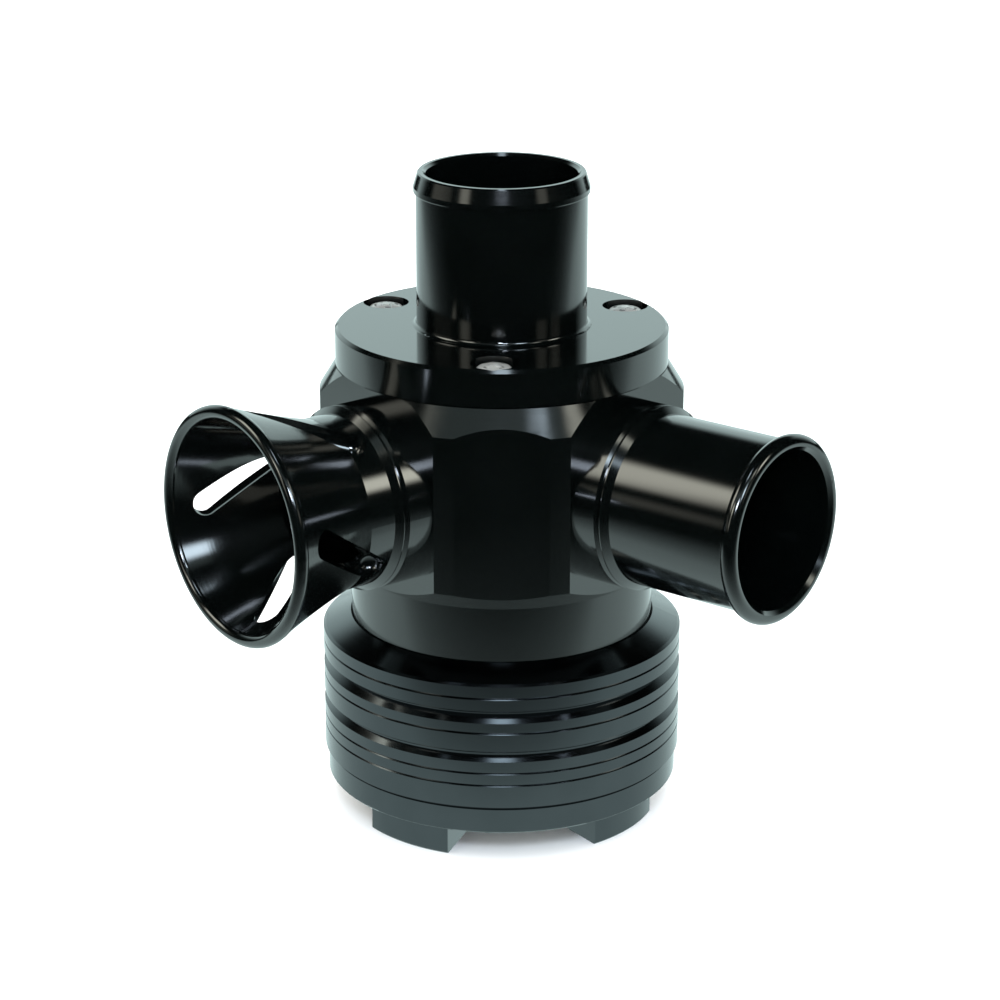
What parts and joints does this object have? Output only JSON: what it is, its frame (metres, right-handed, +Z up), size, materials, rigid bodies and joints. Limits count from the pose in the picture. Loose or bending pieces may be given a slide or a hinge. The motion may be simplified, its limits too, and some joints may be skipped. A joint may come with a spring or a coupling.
{
  "type": "blow off valve",
  "caption": "Piston blow off valve with a hose inlet on top, a recirculation pipe and a fluted trumpet outlet on a milled body, and a finned spring housing with a lugged end cap below.",
  "frame": {"origin": "on the valve's axis, in the plane of the lugs that it stands on", "axes": "+Z up the axis towards the inlet; the milled front flat faces -Y; the recirculation pipe leaves towards +X and -Y, the trumpet towards -X and -Y"},
  "size_m": [0.0961, 0.0705, 0.0979],
  "materials": {
    "gloss_black": "gloss black anodise",
    "satin_slate": "satin black anodise with a slate cast",
    "bright_steel": "bright plated steel",
    "bare_aluminium": "turned",
    "seal_rubber": "matt",
    "bearing_plastic": "matt off white"
  },
  "bodies": {
    "housing": {"inlet_cover": "gloss_black", "cover_screws": "bright_steel", "cover_oring": "seal_rubber", "valve_body": "gloss_black", "recirculation_pipe": "gloss_black", "recirculation_oring": "seal_rubber", "trumpet": "gloss_black", "trumpet_oring": "seal_rubber", "finned_cap": "satin_slate", "cap_oring": "seal_rubber", "shim_thin": "satin_slate", "shim_thick": "satin_slate", "end_cap": "satin_slate", "end_cap_oring": "seal_rubber", "spring": "bright_steel", "spring_seat": "bright_steel"},
    "piston_group": {"piston": "bare_aluminium", "face_seal": "seal_rubber", "guide_ring": "bearing_plastic", "piston_oring": "seal_rubber"}
  },
  "joints": [
    {"name": "piston_slide", "type": "slide", "parent": "housing", "child": "piston_group", "axis": [0, 0, -1], "range_m": [0, 0.011], "stiffness_N_per_m": 1500, "springref_m": -0.015, "deforming": ["spring"]}
  ]
}
